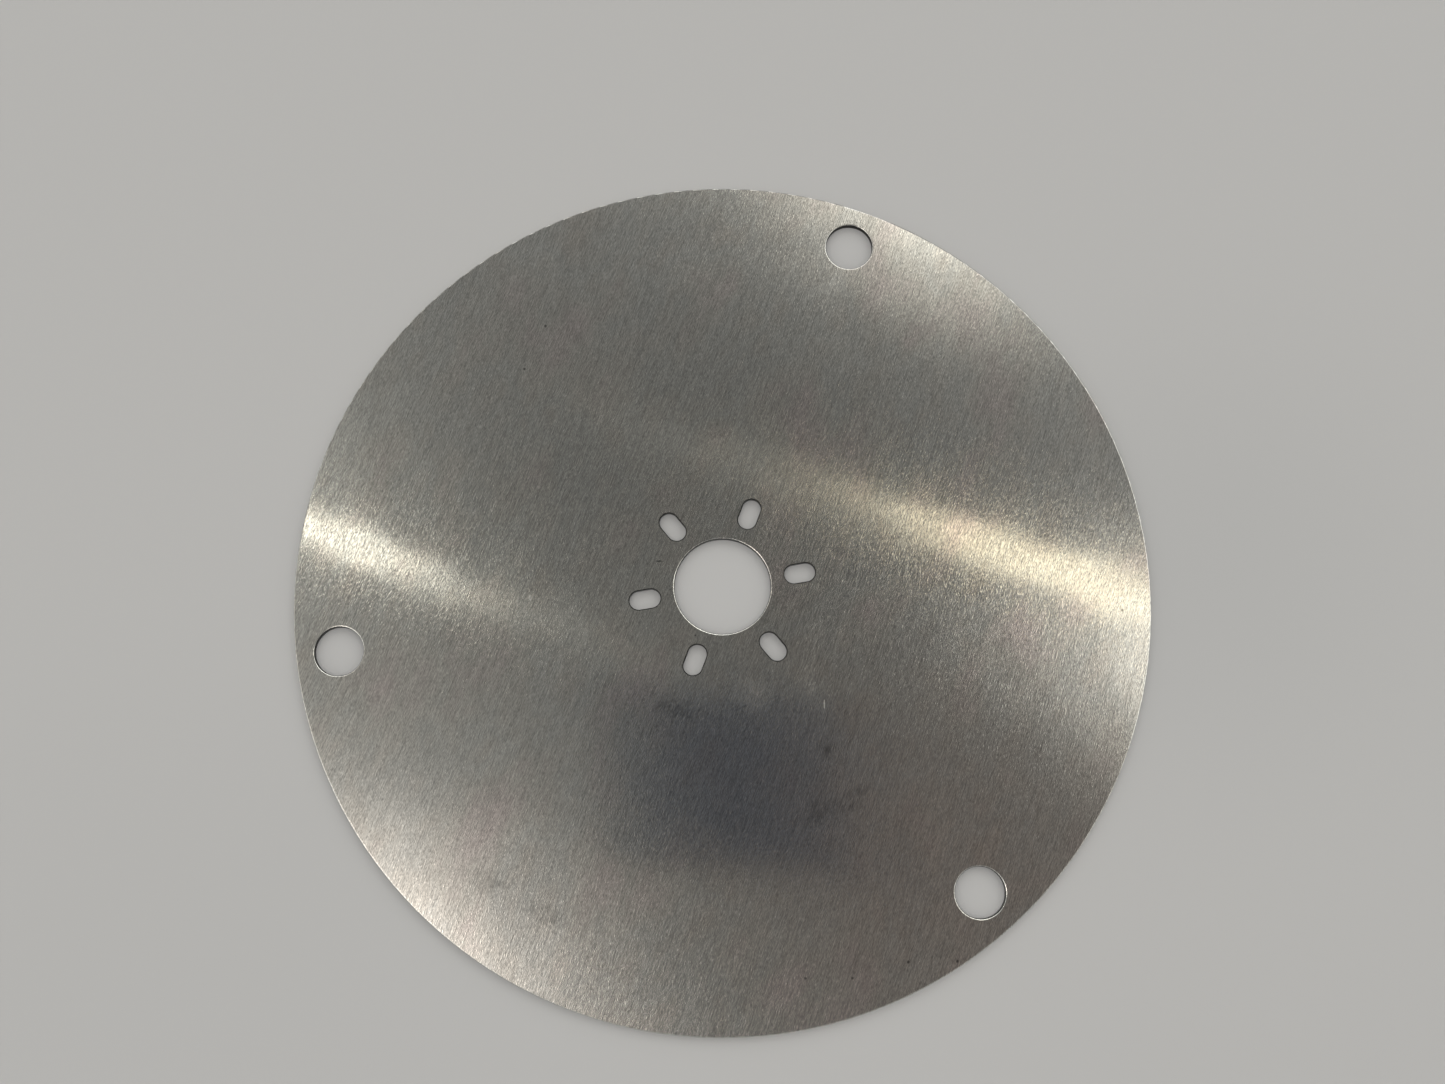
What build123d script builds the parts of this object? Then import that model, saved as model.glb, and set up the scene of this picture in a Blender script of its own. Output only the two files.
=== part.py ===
"""Skid plate of a robotic mower: one flat disc of stainless sheet, punched and deburred.

The plate lies on Z = 0 with its underside down. The origin is the centre of the bore on
the underside, +Z points up through the bore and +X runs through one slot and one rim hole.
"""
from build123d import *
import os

# Driving dimensions in millimetres
plate_diameter = 200.0
plate_thickness = 1.5
edge_roll_radius = 0.35
burr_break = 0.15

bore_diameter = 22.5

slot_count = 6
slot_width = 4.4
slot_length = 7.3
slot_edge_break = 0.2
bore_to_slot_web = 3.45

rim_hole_count = 3
rim_hole_diameter = 11.3
rim_hole_to_edge_web = 4.35

# Places that follow from the driving dimensions
plate_radius = plate_diameter / 2
bore_radius = bore_diameter / 2
rim_hole_radius = rim_hole_diameter / 2
slot_circle_radius = bore_radius + bore_to_slot_web + slot_length / 2
rim_hole_circle_radius = plate_radius - rim_hole_to_edge_web - rim_hole_radius


def blanked_disc():
    """The round blank with its bore and rim holes, rolled above and deburred below."""
    with BuildSketch() as outline:
        Circle(plate_radius)
        Circle(bore_radius, mode=Mode.SUBTRACT)
        with PolarLocations(rim_hole_circle_radius, rim_hole_count):
            Circle(rim_hole_radius, mode=Mode.SUBTRACT)
    sheet = extrude(outline.sketch, amount=plate_thickness)
    upper_edges = sheet.faces().sort_by(Axis.Z)[-1].edges()
    rolled = fillet(upper_edges, edge_roll_radius)
    lower_edges = rolled.faces().sort_by(Axis.Z)[0].edges()
    return chamfer(lower_edges, burr_break)


def slot_punches():
    """A ring of round-ended punches that point away from the bore and run past both faces."""
    with BuildSketch() as ring:
        with PolarLocations(slot_circle_radius, slot_count):
            SlotOverall(slot_length, slot_width)
    return extrude(ring.sketch, amount=2 * plate_thickness, both=True)


def skid_plate():
    """The blank with its slots punched and their edges broken on both faces."""
    blank = blanked_disc()
    punches = slot_punches()
    punched = blank - punches
    slot_edges = new_edges(blank, punches, combined=punched)
    return chamfer(slot_edges, slot_edge_break)


os.makedirs("parts", exist_ok=True)
export_step(skid_plate(), "parts/skid_plate.step")
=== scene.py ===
import math

import bpy
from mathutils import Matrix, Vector


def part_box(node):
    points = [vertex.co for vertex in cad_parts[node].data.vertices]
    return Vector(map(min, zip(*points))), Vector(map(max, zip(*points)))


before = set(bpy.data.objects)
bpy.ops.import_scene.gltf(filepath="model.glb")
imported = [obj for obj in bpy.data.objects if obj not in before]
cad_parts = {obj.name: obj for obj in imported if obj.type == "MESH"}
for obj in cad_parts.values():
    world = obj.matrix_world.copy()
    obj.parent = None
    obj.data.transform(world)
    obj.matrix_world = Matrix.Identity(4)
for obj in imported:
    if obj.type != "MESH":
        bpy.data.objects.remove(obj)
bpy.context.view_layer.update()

# Sizes and places are in metres in the part's frame, where +X runs along the brushed grain
MM = 0.001
plate_low, plate_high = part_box("skid_plate")
PLATE_TOP = plate_high.z
PLATE_RADIUS = plate_high.x

# Floor under the plate, which glows faintly so that shadows stay narrow
FLOOR_GAP = 0.05 * MM
FLOOR_SIDE = 60.0
FLOOR_COLOUR = (0.505, 0.505, 0.498)
FLOOR_GLOW = 0.10
FLOOR_GLOW_COLOUR = (1.0, 1.0, 0.985)

# Camera: its height over the upper face, its distance beside the bore and how it is turned
IMAGE_WIDTH_PX = 1445
FOCAL_LENGTH_PX = 1269.0
SENSOR_WIDTH = 36.0
NEAREST_SEEN = 10.0 * MM
CAMERA_HEIGHT = 292.8 * MM
CAMERA_SETBACK = 46.1 * MM
CAMERA_TILT = math.radians(10.94)
CAMERA_TURN = math.radians(-69.75)

# Directions that are right and up in the picture, and the floor point under the camera
RIGHT = Vector((math.cos(CAMERA_TURN), math.sin(CAMERA_TURN), 0.0))
UP = Vector((-math.sin(CAMERA_TURN), math.cos(CAMERA_TURN), 0.0))
HIGH = Vector((0.0, 0.0, 1.0))
CAMERA_FOOT = -CAMERA_SETBACK * UP

# The range that holds most values of a noise
NOISE_RANGE = (0.3, 0.7)

# Brushed grain: length and width of the streaks of each layer and its share of the grain
GRAINS = [
    (0.75 * MM, 0.15 * MM, 0.45),
    (2.00 * MM, 0.16 * MM, 0.35),
    (7.00 * MM, 0.18 * MM, 0.20),
]
GRAIN_DEPTH = 0.006 * MM
GRAIN_SHADE = (0.62, 1.38)

# Flecks: short steeper scratches among the streaks, where a noise is at its highest
FLECK_SIZE = (0.9 * MM, 0.16 * MM, 0.16 * MM)
FLECK_RANGE = (0.55, 0.75)
FLECK_DEPTH = 0.004 * MM

# The streaks stray a little to the side along their length
STRAY_SIZE = (6.0 * MM, 3.0 * MM, 3.0 * MM)
STRAY_WIDTH = 0.5 * MM

# Faint clouds of colour and gloss, and waves in the sheet
CLOUD_SIZE = (30.0 * MM, 18.0 * MM, 20.0 * MM)
CLOUD_TINTS = [
    (0.30, (0.810, 0.783, 0.716)),
    (0.45, (0.797, 0.803, 0.756)),
    (0.55, (0.810, 0.797, 0.736)),
    (0.70, (0.837, 0.776, 0.736)),
]
CLOUD_ROUGHNESS = (0.110, 0.125)
WAVE_SIZE = (28.0 * MM, 24.0 * MM, 24.0 * MM)
WAVE_DEPTH = 0.10 * MM

# How far a surface faces up or down, from zero on a wall to one on a face, sets painted light and
# shade
# in its colour: painted shade on cut walls and the steep part of the edges, nearly black in the
# holes and dull at the rim, a painted highlight on the gently sloping part of the edges, and
# brushed faces. The shades of the rim take over from those of the holes between two distances from
# the middle
HOLE_PAINTED_LIGHT_AND_SHADE = [(0.72, 0.05), (0.82, 1.00), (0.97, 1.00), (0.995, 0.74)]
RIM_PAINTED_LIGHT_AND_SHADE = [(0.72, 0.65), (0.82, 1.00), (0.97, 1.00), (0.995, 0.74)]
RIM_START = (0.97 * PLATE_RADIUS, 0.98 * PLATE_RADIUS)

# Cut walls are duller than the faces, and only the faces carry the grain's relief
WALL_FACING = (0.1, 0.4)
WALL_ROUGHNESS = 0.3
GRAIN_FACING = (0.90, 0.99)

# Wear and painted reflections: middle of each mark in mm, its length and width in mm and its turn
# from +X in degrees
DARK_MARKS = [
    (0.4, 16.0, 1.5, 0.45, -66.0),
    (45.1, 62.5, 0.7, 0.6, 0.0),
    (33.2, 63.2, 0.6, 0.6, 0.0),
    (26.9, -89.2, 0.7, 0.6, 0.0),
    (-64.6, -67.6, 0.7, 0.6, 0.0),
    (-75.7, -47.4, 0.6, 0.6, 0.0),
    (-72.1, -57.1, 0.6, 0.6, 0.0),
    (-60.7, -77.7, 0.7, 0.6, 0.0),
    (-13.0, 1.9, 0.5, 0.4, 0.0),
]
LIGHT_MARKS = [
    (-17.6, -31.4, 2.0, 0.32, 20.0),
    (-18.1, 41.1, 1.4, 0.6, 30.0),
]
DARK_SMUDGES_AND_REFLECTIONS = [
    (-30.4, -0.8, 4.5, 11.0, 15.0),
    (-80.6, 25.3, 5.0, 8.0, 20.0),
    (-82.9, 11.0, 4.0, 10.0, -10.0),
    # The three dark smudges below are painted reflections of dark things held above the plate
    (-41.0, -38.5, 11.0, 4.5, -45.0),
    (-35.0, -45.0, 10.0, 5.0, -40.0),
    (-27.0, -35.0, 5.0, 3.5, 0.0),
]
LIGHT_SMUDGES = [
    (-13.9, -26.9, 9.0, 7.0, 25.0),
    (-21.2, -15.0, 8.0, 9.0, 0.0),
    (-4.1, -23.4, 10.0, 6.0, 10.0),
    (16.4, -5.2, 5.0, 4.0, 0.0),
    (92.5, 10.0, 9.0, 5.0, 0.0),
    (80.0, 0.5, 14.0, 5.0, 0.0),
    (-73.0, 28.0, 16.0, 24.0, 20.0),
]
DARK_MARK_SHADE = 0.30
LIGHT_MARK_SHADE = 1.25
LIGHT_MARK_ROUGHNESS = 0.4
# Shade of the dark smudges and of the painted reflections among them
DARK_SMUDGE_AND_REFLECTION_SHADE = 0.62
LIGHT_SMUDGE_SHADE = 1.18
LIGHT_SMUDGE_ROUGHNESS = 0.02

# All wear and painted reflections fade out between two shares of their half length and width, and
# lie close to the upper face. Smudges and painted reflections are broken up by noise
MARK_FADE = (0.6, 1.2)
SMUDGE_FADE = (0.3, 1.3)
SMUDGE_GRAIN = (2.0 * MM, 1.6 * MM, 2.0 * MM)
SMUDGE_RANGE = (0.35, 0.65)
WEAR_DEPTH = 0.2 * MM

# Light of the room by the height of its direction, from the horizon to straight above
SKY = [(0.15, 0.445), (0.40, 0.16), (0.85, 0.29), (0.89, 0.26), (0.93, 0.20), (0.97, 0.143)]
SKY_TINT = (1.0, 0.99, 0.97)

# Windows: how they fade by height, then for each its side of the picture, its spread and its light
WINDOW_HEIGHTS = [(0.20, 0.0), (0.32, 1.0), (0.72, 1.0), (0.84, 0.0)]
WINDOWS = [
    ((0.10, 1.00), math.radians(35.0), (1.35, 1.35, 1.33)),
    ((1.00, 0.10), math.radians(25.0), (0.80, 0.785, 0.75)),
    ((-0.90, -0.45), math.radians(25.0), (0.80, 0.785, 0.76)),
]

# Soft glows of the room: the point in plate radii that mirrors each, its spread and its light
GLOWS = [
    ((1.30, -0.21), math.radians(3.4), (4.3, 4.08, 3.70)),
    ((-1.28, 0.63), math.radians(4.1), (6.2, 5.6, 5.25)),
    ((-1.20, 0.75), math.radians(9.0), (0.46, 0.445, 0.418)),
    ((0.23, -1.25), math.radians(2.7), (3.5, 3.33, 3.07)),
    ((0.55, -0.75), math.radians(5.5), (0.060, 0.056, 0.054)),
    ((-0.35, 0.40), math.radians(5.0), (0.035, 0.035, 0.034)),
    ((-0.15, 1.25), math.radians(4.0), (0.45, 0.43, 0.39)),
    ((-0.45, -0.70), math.radians(6.0), (0.048, 0.020, 0.010)),
]

# Lamps: the point in plate radii that mirrors each, its size, its brightness and its colour.
# The last one is faint and lengthens the bright band of the one before it
LAMP_HEIGHT = 1.2
LAMPS = [
    ((-0.205, 0.97), (0.043, 0.32), 2.0, (1.0, 0.94, 0.82)),
    ((0.305, -0.675), (0.057, 0.35), 1.45, (1.0, 0.87, 0.64)),
    ((0.295, 0.10), (0.05, 0.36), 0.045, (1.0, 0.96, 0.90)),
]

# Dark card beside the lens that shades the middle of the plate: its centre and its half sides
FLAG_CENTRE = 3.0 * MM * RIGHT - 41.0 * MM * UP + (PLATE_TOP + CAMERA_HEIGHT) * HIGH
FLAG_RIGHT = 50.0 * MM * RIGHT
FLAG_UP = 39.0 * MM * UP
FLAG_COLOUR = (0.170, 0.180, 0.225)

# Places of the mix node's factor and colours among its inputs, and of its colour among its outputs
MIX_FACTOR, MIX_FIRST, MIX_SECOND = 0, 6, 7
MIX_RESULT = 2


class Nodes:
    """A short way to write a node tree: adds nodes, sets their inputs and links them."""

    def __init__(self, owner):
        owner.use_nodes = True
        self.tree = owner.node_tree
        self.tree.nodes.clear()

    def add(self, kind, inputs=None, **settings):
        """A new node, with its settings made and each of its inputs set to a value or linked."""
        node = self.tree.nodes.new(kind)
        for name, value in settings.items():
            setattr(node, name, value)
        for name, value in (inputs or {}).items():
            if isinstance(value, bpy.types.NodeSocket):
                self.tree.links.new(value, node.inputs[name])
            else:
                node.inputs[name].default_value = value
        return node

    def math(self, operation, *values):
        return self.add("ShaderNodeMath", dict(enumerate(values)), operation=operation).outputs[0]

    def vector(self, operation, *values):
        node = self.add("ShaderNodeVectorMath", dict(enumerate(values)), operation=operation)
        return node.outputs["Vector"]

    def measure(self, operation, *values):
        node = self.add("ShaderNodeVectorMath", dict(enumerate(values)), operation=operation)
        return node.outputs["Value"]

    def noise(self, place, stretch, detail=2.0, roughness=0.5):
        """Noise whose grains measure about stretch, in metres, along each axis."""
        scale = [1.0 / size for size in stretch]
        mapped = self.add("ShaderNodeMapping", {"Vector": place, "Scale": scale}).outputs[0]
        inputs = {"Vector": mapped, "Scale": 1.0, "Detail": detail, "Roughness": roughness}
        return self.add("ShaderNodeTexNoise", inputs).outputs["Fac"]

    def remap(self, value, old, new=(0.0, 1.0)):
        """The value carried over from the old range to the new one, and held within it."""
        inputs = dict(enumerate((value, *old, *new)))
        return self.add("ShaderNodeMapRange", inputs).outputs[0]

    def ramp(self, value, stops):
        node = self.add("ShaderNodeValToRGB", {"Fac": value})
        elements = node.color_ramp.elements
        while len(elements) < len(stops):
            elements.new(0.5)
        for element, (position, colour) in zip(elements, stops):
            element.position = position
            element.color = (*colour, 1.0)
        return node.outputs["Color"]

    def greys(self, value, stops):
        return self.ramp(value, [(stop, [grey] * 3) for stop, grey in stops])

    def mix(self, factor, first, second, blend_type="MIX"):
        inputs = {MIX_FACTOR: factor, MIX_FIRST: first, MIX_SECOND: second}
        node = self.add("ShaderNodeMix", inputs, data_type="RGBA", blend_type=blend_type)
        return node.outputs[MIX_RESULT]

    def marks(self, place, marks, fade):
        """One where a mark lies on the upper face and zero elsewhere, with soft edges."""
        shown = 0.0
        for x, y, length, width, turn in marks:
            inputs = {
                "Vector": place,
                "Location": (x * MM, y * MM, PLATE_TOP),
                "Rotation": (0.0, 0.0, math.radians(turn)),
                "Scale": (length / 2 * MM, width / 2 * MM, WEAR_DEPTH),
            }
            local = self.add("ShaderNodeMapping", inputs, vector_type="TEXTURE").outputs[0]
            inside = self.remap(self.measure("LENGTH", local), fade, (1.0, 0.0))
            shown = self.math("MAXIMUM", shown, inside)
        return shown

    def shaded(self, shade, amount, full):
        """The shade, multiplied by full where amount is one and left alone where it is zero."""
        return self.math("MULTIPLY", shade, self.remap(amount, (0.0, 1.0), (1.0, full)))

    def glow(self, direction, axis, spread):
        """One along the axis, fading almost to zero at three times the spread, in radians."""
        away = self.math("SUBTRACT", self.measure("DOT_PRODUCT", direction, axis), 1.0)
        return self.math("EXPONENT", self.math("DIVIDE", away, spread ** 2))


def brushed_stainless():
    """Satin stainless sheet, brushed along X, with smudges and painted reflections, painted light
    and shade on its edges and duller cut walls.
    """
    material = bpy.data.materials.new("brushed_stainless")
    nodes = Nodes(material)
    place = nodes.add("ShaderNodeTexCoord").outputs["Object"]
    normal = nodes.add("ShaderNodeNewGeometry").outputs["Normal"]
    facing = nodes.math("ABSOLUTE", nodes.measure("DOT_PRODUCT", normal, HIGH))

    # Grain: layers of streaks and flecks that stray a little from a straight line
    stray = nodes.math("SUBTRACT", nodes.noise(place, STRAY_SIZE), 0.5)
    aside = nodes.add("ShaderNodeCombineXYZ", {"Y": nodes.math("MULTIPLY", stray, STRAY_WIDTH)})
    strayed = nodes.vector("ADD", place, aside.outputs[0])
    grain = 0.0
    for length, width, share in GRAINS:
        streaks = nodes.noise(strayed, (length, width, width), detail=0.0)
        grain = nodes.math("MULTIPLY_ADD", streaks, share, grain)
    fleck = nodes.remap(nodes.noise(strayed, FLECK_SIZE, detail=0.0), FLECK_RANGE)

    # Wear and painted reflections: specks, scratches and broken smudges on the upper face, some of
    # the dark smudges being painted reflections
    broken = nodes.remap(nodes.noise(place, SMUDGE_GRAIN, detail=3.0), SMUDGE_RANGE)
    dark_mark = nodes.marks(place, DARK_MARKS, MARK_FADE)
    light_mark = nodes.marks(place, LIGHT_MARKS, MARK_FADE)
    dark_smudge_and_reflection = nodes.math("MULTIPLY", nodes.marks(place, DARK_SMUDGES_AND_REFLECTIONS, SMUDGE_FADE), broken)
    light_smudge = nodes.math("MULTIPLY", nodes.marks(place, LIGHT_SMUDGES, SMUDGE_FADE), broken)

    # Colour: faint warm and cool clouds under the streaks, with a painted highlight on sloping
    # edges and painted shade on cut walls and steep edges
    cloud = nodes.noise(place, CLOUD_SIZE, detail=4.0, roughness=0.6)
    rim = nodes.remap(nodes.measure("LENGTH", place), RIM_START)
    # Painted shade on cut walls and steep edges and a painted highlight on gently sloping edges,
    # by how far each faces up
    painted_edge_light_and_shade = nodes.mix(rim, nodes.greys(facing, HOLE_PAINTED_LIGHT_AND_SHADE), nodes.greys(facing, RIM_PAINTED_LIGHT_AND_SHADE))
    tint = nodes.mix(1.0, nodes.ramp(cloud, CLOUD_TINTS), painted_edge_light_and_shade, "MULTIPLY")
    shade = nodes.remap(grain, NOISE_RANGE, GRAIN_SHADE)
    shade = nodes.shaded(shade, dark_mark, DARK_MARK_SHADE)
    shade = nodes.shaded(shade, light_mark, LIGHT_MARK_SHADE)
    # Dark smudges darken the colour, and some of them are painted reflections
    shade = nodes.shaded(shade, dark_smudge_and_reflection, DARK_SMUDGE_AND_REFLECTION_SHADE)
    shade = nodes.shaded(shade, light_smudge, LIGHT_SMUDGE_SHADE)
    colour = nodes.mix(1.0, tint, shade, "MULTIPLY")

    # Relief: streaks and flecks along the grain on a slightly wavy sheet
    relief = nodes.math("MULTIPLY", grain, GRAIN_DEPTH / MM)
    relief = nodes.math("MULTIPLY_ADD", fleck, FLECK_DEPTH / MM, relief)
    wave = nodes.noise(place, WAVE_SIZE, detail=1.0)
    relief = nodes.math("MULTIPLY_ADD", wave, WAVE_DEPTH / MM, relief)
    flat = nodes.remap(facing, GRAIN_FACING)
    bump = nodes.add("ShaderNodeBump", {"Height": relief, "Distance": MM, "Strength": flat})

    # Gloss: duller in scratches, smudges and cut walls
    roughness = nodes.remap(cloud, NOISE_RANGE, CLOUD_ROUGHNESS)
    roughness = nodes.math("MULTIPLY_ADD", light_mark, LIGHT_MARK_ROUGHNESS, roughness)
    roughness = nodes.math("MULTIPLY_ADD", light_smudge, LIGHT_SMUDGE_ROUGHNESS, roughness)
    wall_roughness = nodes.remap(facing, WALL_FACING, (WALL_ROUGHNESS, 0.0))
    roughness = nodes.math("ADD", roughness, wall_roughness)
    across = nodes.add("ShaderNodeCombineXYZ", {"Y": 1.0})
    steel = nodes.add("ShaderNodeBsdfPrincipled", {
        "Base Color": colour,
        "Metallic": 1.0,
        "Roughness": roughness,
        "Anisotropic": 1.0,
        "Tangent": across.outputs[0],
        "Normal": bump.outputs[0],
    })
    nodes.add("ShaderNodeOutputMaterial", {"Surface": steel.outputs[0]})
    return material


def pale_floor():
    """A plain pale tabletop without gloss."""
    material = bpy.data.materials.new("pale_floor")
    nodes = Nodes(material)
    paint = nodes.add("ShaderNodeBsdfPrincipled", {
        "Base Color": (*FLOOR_COLOUR, 1.0),
        "Roughness": 1.0,
        "Specular IOR Level": 0.0,
        "Emission Color": (*FLOOR_GLOW_COLOUR, 1.0),
        "Emission Strength": FLOOR_GLOW,
    })
    nodes.add("ShaderNodeOutputMaterial", {"Surface": paint.outputs[0]})
    return material


def dull_felt():
    """Dull dark felt of the card beside the lens."""
    material = bpy.data.materials.new("dull_felt")
    nodes = Nodes(material)
    felt = nodes.add("ShaderNodeBsdfDiffuse", {"Color": (*FLAG_COLOUR, 1.0)})
    nodes.add("ShaderNodeOutputMaterial", {"Surface": felt.outputs[0]})
    return material


def add_card(name, centre, right, up, material):
    """A flat rectangle that reaches from its centre by the vectors right and up."""
    corners = [centre - right - up, centre + right - up, centre + right + up, centre - right + up]
    mesh = bpy.data.meshes.new(name)
    mesh.from_pydata(corners, [], [(0, 1, 2, 3)])
    mesh.materials.append(material)
    card = bpy.data.objects.new(name, mesh)
    bpy.context.scene.collection.objects.link(card)
    return card


def add_camera():
    """A camera that looks down on the plate from slightly in front of it."""
    data = bpy.data.cameras.new("camera")
    data.sensor_width = SENSOR_WIDTH
    data.lens = FOCAL_LENGTH_PX / IMAGE_WIDTH_PX * SENSOR_WIDTH
    data.clip_start = NEAREST_SEEN
    camera = bpy.data.objects.new("camera", data)
    camera.location = CAMERA_FOOT + (PLATE_TOP + CAMERA_HEIGHT) * HIGH
    camera.rotation_euler = (CAMERA_TILT, 0.0, CAMERA_TURN)
    bpy.context.scene.collection.objects.link(camera)
    bpy.context.scene.camera = camera


def glow_direction(x, y):
    """The direction of what the plate mirrors to the camera at x, y, in plate radii."""
    point = Vector((x * PLATE_RADIUS, y * PLATE_RADIUS, CAMERA_HEIGHT))
    return (point - CAMERA_FOOT).normalized()


def window_direction(right, up):
    """The level direction of a window at one side of the picture."""
    return (right * RIGHT + up * UP).normalized()


def lamp_location(x, y):
    """The place, at the lamps' height, that the plate mirrors to the camera at x, y."""
    point = Vector((x * PLATE_RADIUS, y * PLATE_RADIUS, 0.0))
    reach = 1.0 + LAMP_HEIGHT / CAMERA_HEIGHT
    return CAMERA_FOOT + (point - CAMERA_FOOT) * reach + (PLATE_TOP + LAMP_HEIGHT) * HIGH


def add_room_light():
    """Dim even light from all round, with windows at the sides and soft glows above."""
    world = bpy.data.worlds.new("room")
    bpy.context.scene.world = world
    nodes = Nodes(world)
    direction = nodes.add("ShaderNodeTexCoord").outputs["Generated"]
    height = nodes.measure("DOT_PRODUCT", direction, HIGH)
    level = nodes.vector("NORMALIZE", nodes.vector("MULTIPLY", direction, (1.0, 1.0, 0.0)))
    sky = nodes.ramp(height, [(stop, [light * part for part in SKY_TINT]) for stop, light in SKY])
    light = nodes.add("ShaderNodeBackground", {"Color": sky, "Strength": 1.0}).outputs[0]
    window = nodes.greys(height, WINDOW_HEIGHTS)
    lights = []
    for place, spread, colour in GLOWS:
        lights.append((nodes.glow(direction, glow_direction(*place), spread), colour))
    for side, spread, colour in WINDOWS:
        shown = nodes.glow(level, window_direction(*side), spread)
        lights.append((nodes.math("MULTIPLY", window, shown), colour))
    for strength, colour in lights:
        glow = nodes.add("ShaderNodeBackground", {"Color": (*colour, 1.0), "Strength": strength})
        light = nodes.add("ShaderNodeAddShader", {0: light, 1: glow.outputs[0]}).outputs[0]
    nodes.add("ShaderNodeOutputWorld", {"Surface": light})


def add_lamp(place, size, brightness, colour):
    """A flat oval lamp that shines straight down."""
    data = bpy.data.lights.new("lamp", "AREA")
    data.shape = "ELLIPSE"
    data.size, data.size_y = size
    data.energy = brightness * math.pi * size[0] * size[1]
    data.color = colour
    lamp = bpy.data.objects.new("lamp", data)
    lamp.location = lamp_location(*place)
    bpy.context.scene.collection.objects.link(lamp)


add_camera()
add_room_light()
for lamp_settings in LAMPS:
    add_lamp(*lamp_settings)

floor_centre = (plate_low.z - FLOOR_GAP) * HIGH
add_card("floor", floor_centre, FLOOR_SIDE / 2 * RIGHT, FLOOR_SIDE / 2 * UP, pale_floor())
flag = add_card("flag", FLAG_CENTRE, FLAG_RIGHT, FLAG_UP, dull_felt())
flag.visible_camera = False

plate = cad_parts["skid_plate"]
plate.data.materials.clear()
plate.data.materials.append(brushed_stainless())

bpy.context.scene.view_settings.view_transform = "Standard"
